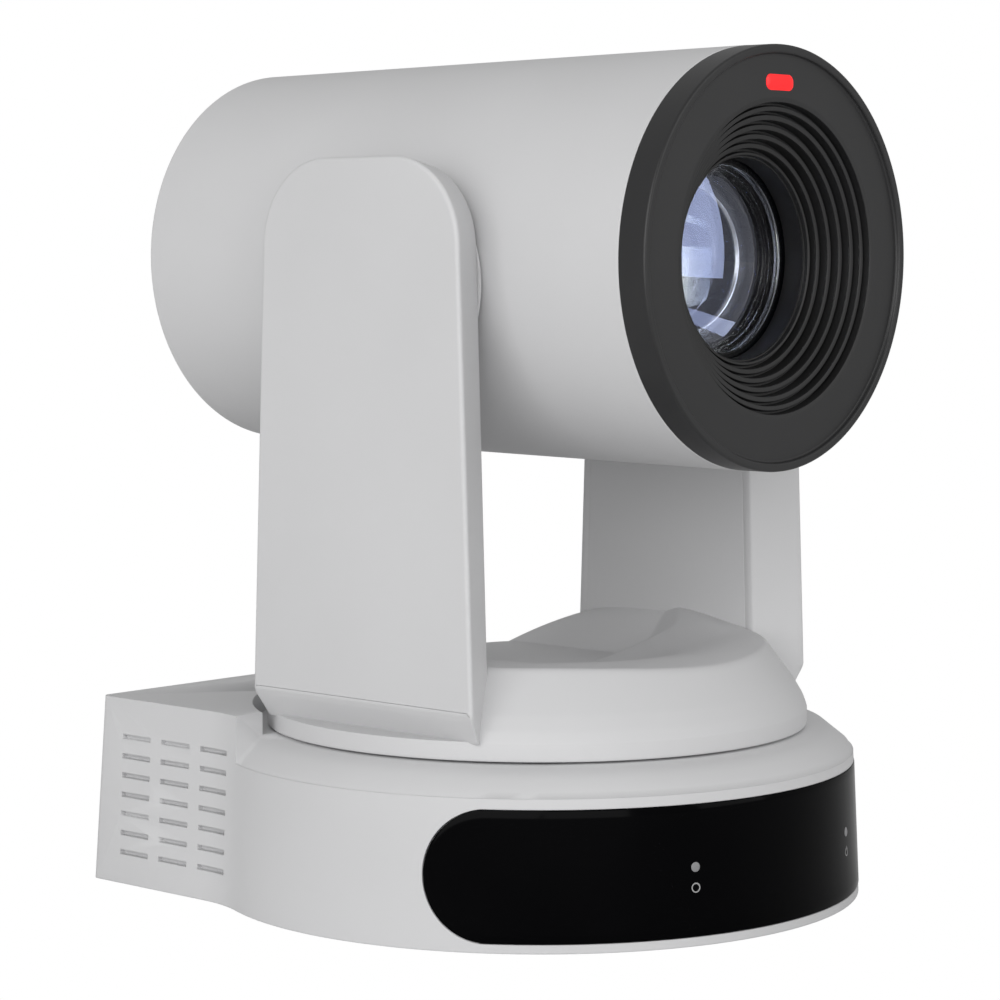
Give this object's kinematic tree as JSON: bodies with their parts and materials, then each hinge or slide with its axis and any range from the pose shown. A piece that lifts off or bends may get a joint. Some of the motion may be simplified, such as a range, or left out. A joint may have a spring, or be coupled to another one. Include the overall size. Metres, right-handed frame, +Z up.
{
  "type": "ptz camera",
  "caption": "Motorised pan, tilt and zoom camera with a tapered barrel head held between the arms of a yoke on a turntable base.",
  "frame": {"origin": "centre of the mouth of the tripod socket in the underside, on the pan axis, in the plane that the feet stand on", "axes": "+Z up along the pan axis, -Y towards where the lens looks at rest, +X to the right when looking from the front at the lens"},
  "size_m": [0.1324, 0.1403, 0.17],
  "materials": {
    "grey_plastic": "fine texture",
    "black_plastic": "satin",
    "gloss_black": "polished",
    "light_pipe": "clear",
    "ir_filter": "polished",
    "tally_red": "diffusing",
    "dial_plastic": "satin",
    "cell_black": "satin",
    "foot_rubber": "matte",
    "belt_rubber": "matte",
    "board": "solder mask",
    "plated_steel": "zinc plated",
    "screw_steel": "plated",
    "bearing_steel": "ground",
    "nickel": "nickel plated",
    "cast_aluminium": "satin",
    "motor_black": "satin",
    "lens_glass": "coated",
    "sensor_glass": "polished"
  },
  "bodies": {
    "base": {"base_housing": "grey_plastic", "base_plate": "black_plastic", "tripod_insert": "plated_steel", "rubber_feet": "foot_rubber", "base_screws": "screw_steel", "front_window": "gloss_black", "standby_light": "light_pipe", "power_light": "light_pipe", "ir_receiver": "ir_filter", "indicator_board": "board", "rear_panel": "black_plastic", "dc_jack": "black_plastic", "hdmi_port": "plated_steel", "sdi_port": "nickel", "lan_port": "plated_steel", "usb_port": "plated_steel", "serial_ports": "black_plastic", "audio_jack": "black_plastic", "main_board": "board", "heat_sink": "cast_aluminium", "pan_bearing": "bearing_steel", "pan_motor_bracket": "plated_steel", "pan_motor": "motor_black", "pan_belt": "belt_rubber"},
    "pan_pulley": {"pan_motor_pulley": "bearing_steel"},
    "dial": {"select_dial": "dial_plastic"},
    "switch": {"power_switch": "black_plastic"},
    "yoke": {"pan_spindle": "bearing_steel", "pan_wheel": "black_plastic", "turntable": "grey_plastic", "yoke_frame": "plated_steel", "yoke_screws": "screw_steel", "left_arm": "grey_plastic", "right_arm": "grey_plastic", "left_arm_cover": "grey_plastic", "right_arm_cover": "grey_plastic", "left_tilt_spindle": "bearing_steel", "right_tilt_spindle": "bearing_steel", "tilt_wheel": "black_plastic"},
    "head": {"head_shell": "grey_plastic", "rear_cap": "grey_plastic", "rear_screws": "screw_steel", "front_bezel": "black_plastic", "tally_light": "tally_red", "head_frame": "cast_aluminium", "tilt_bearings": "bearing_steel", "tilt_motor": "motor_black", "tilt_belt": "belt_rubber", "front_lens": "lens_glass", "lens_barrel": "black_plastic", "guide_rods": "bearing_steel", "image_sensor": "sensor_glass", "sensor_board": "board"},
    "tilt_pulley": {"tilt_motor_pulley": "bearing_steel"},
    "zoom": {"zoom_group": "cell_black"},
    "focus": {"focus_group": "cell_black"}
  },
  "joints": [
    {"name": "pan", "type": "hinge", "parent": "base", "child": "yoke", "pos_m": [0, 0, 0.0344], "axis": [0, 0, 1], "range_deg": [-170, 170]},
    {"name": "tilt", "type": "hinge", "parent": "yoke", "child": "head", "pos_m": [0, 0, 0.1293], "axis": [-1, 0, 0], "range_deg": [-30, 90]},
    {"name": "pan_motor_spin", "type": "hinge", "parent": "base", "child": "pan_pulley", "pos_m": [0, -0.036, 0.02], "axis": [0, 0, 1], "range_deg": [-690, 690]},
    {"name": "tilt_motor_spin", "type": "hinge", "parent": "head", "child": "tilt_pulley", "pos_m": [0, 0.047, 0.1293], "axis": [-1, 0, 0], "range_deg": [-280, 100]},
    {"name": "zoom", "type": "slide", "parent": "head", "child": "zoom", "axis": [0, 1, 0], "range_m": [0, 0.022]},
    {"name": "focus", "type": "slide", "parent": "head", "child": "focus", "axis": [0, -1, 0], "range_m": [0, 0.007]},
    {"name": "select_dial_turn", "type": "hinge", "parent": "base", "child": "dial", "pos_m": [0.037, 0.06, 0.0224], "axis": [0, -1, 0], "range_deg": [0, 324]},
    {"name": "power_rock", "type": "hinge", "parent": "base", "child": "switch", "pos_m": [-0.041, 0.061, 0.023], "axis": [0, 0, 1], "range_deg": [0, 16]}
  ],
  "couplings": [
    {"joint": "pan_motor_spin", "follows": "pan", "ratio": 4},
    {"joint": "tilt_motor_spin", "follows": "tilt", "ratio": -3}
  ]
}
